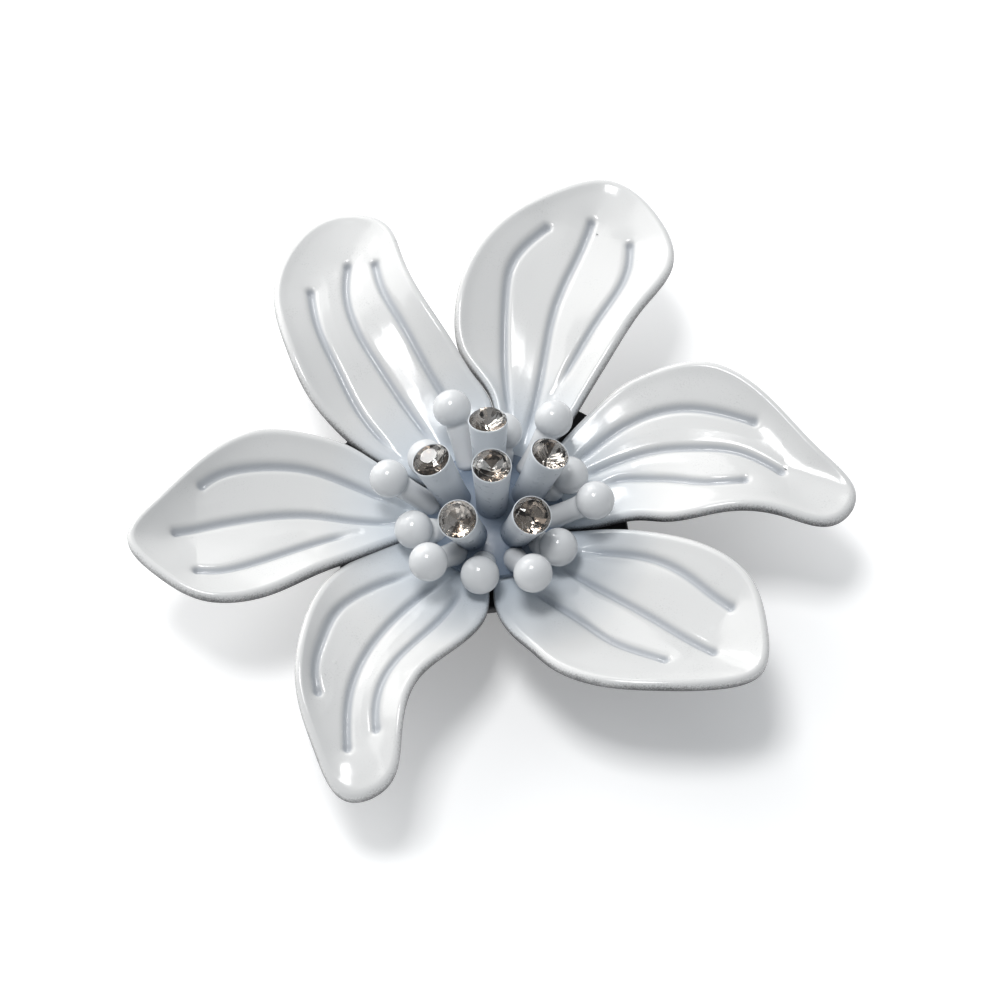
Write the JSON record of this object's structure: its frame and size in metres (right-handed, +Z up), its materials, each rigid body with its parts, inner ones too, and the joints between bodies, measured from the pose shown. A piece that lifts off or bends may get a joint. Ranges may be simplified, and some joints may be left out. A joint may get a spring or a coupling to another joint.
{
  "type": "flower hair clip",
  "caption": "Metal flower hair clip: enamelled petals round ball stamens and rhinestone posts, riveted to a sprung two-arm clip that grips a lock of hair.",
  "frame": {"origin": "on the flat underside of the lower arm, straight below the flower's centre", "axes": "+Z up through the flower, +X to the flower's right, +Y to its top; the press levers point 20 degrees clockwise of +X"},
  "size_m": [0.0752, 0.075, 0.0215],
  "materials": {
    "white_enamel_petal": "glossy white enamel over cast metal, dark on the back",
    "white_enamel_stamen": "glossy white enamel",
    "rhinestone": "faceted, foil backed",
    "black_pad": "black leather-faced board",
    "black_lacquered_steel": "black lacquer",
    "spring_steel": "drawn wire",
    "brass_rivet": "plain"
  },
  "bodies": {
    "flower": {"backing_pad": "black_pad", "ball_stamen_1": "white_enamel_stamen", "ball_stamen_10": "white_enamel_stamen", "ball_stamen_11": "white_enamel_stamen", "ball_stamen_12": "white_enamel_stamen", "ball_stamen_2": "white_enamel_stamen", "ball_stamen_3": "white_enamel_stamen", "ball_stamen_4": "white_enamel_stamen", "ball_stamen_5": "white_enamel_stamen", "ball_stamen_6": "white_enamel_stamen", "ball_stamen_7": "white_enamel_stamen", "ball_stamen_8": "white_enamel_stamen", "ball_stamen_9": "white_enamel_stamen", "centre_rivet": "brass_rivet", "hinge_pin": "spring_steel", "petal_left": "white_enamel_petal", "petal_lower_left": "white_enamel_petal", "petal_lower_right": "white_enamel_petal", "petal_right": "white_enamel_petal", "petal_top": "white_enamel_petal", "petal_upper_left": "white_enamel_petal", "rhinestone_1": "rhinestone", "rhinestone_2": "rhinestone", "rhinestone_3": "rhinestone", "rhinestone_4": "rhinestone", "rhinestone_5": "rhinestone", "rhinestone_6": "rhinestone", "rhinestone_post_1": "white_enamel_stamen", "rhinestone_post_2": "white_enamel_stamen", "rhinestone_post_3": "white_enamel_stamen", "rhinestone_post_4": "white_enamel_stamen", "rhinestone_post_5": "white_enamel_stamen", "rhinestone_post_6": "white_enamel_stamen", "stamen_hub": "white_enamel_stamen", "torsion_spring": "spring_steel", "upper_arm": "black_lacquered_steel"},
    "lower_jaw": {"lower_arm": "black_lacquered_steel"}
  },
  "joints": [
    {"name": "jaw_hinge", "type": "hinge", "parent": "flower", "child": "lower_jaw", "pos_m": [0.00423, -0.00154, 0.0037], "axis": [-0.342, -0.9397, 0], "range_deg": [0, 20], "stiffness_Nm_per_rad": 0.08, "springref_deg": -51.57, "deforming": ["torsion_spring"]}
  ]
}
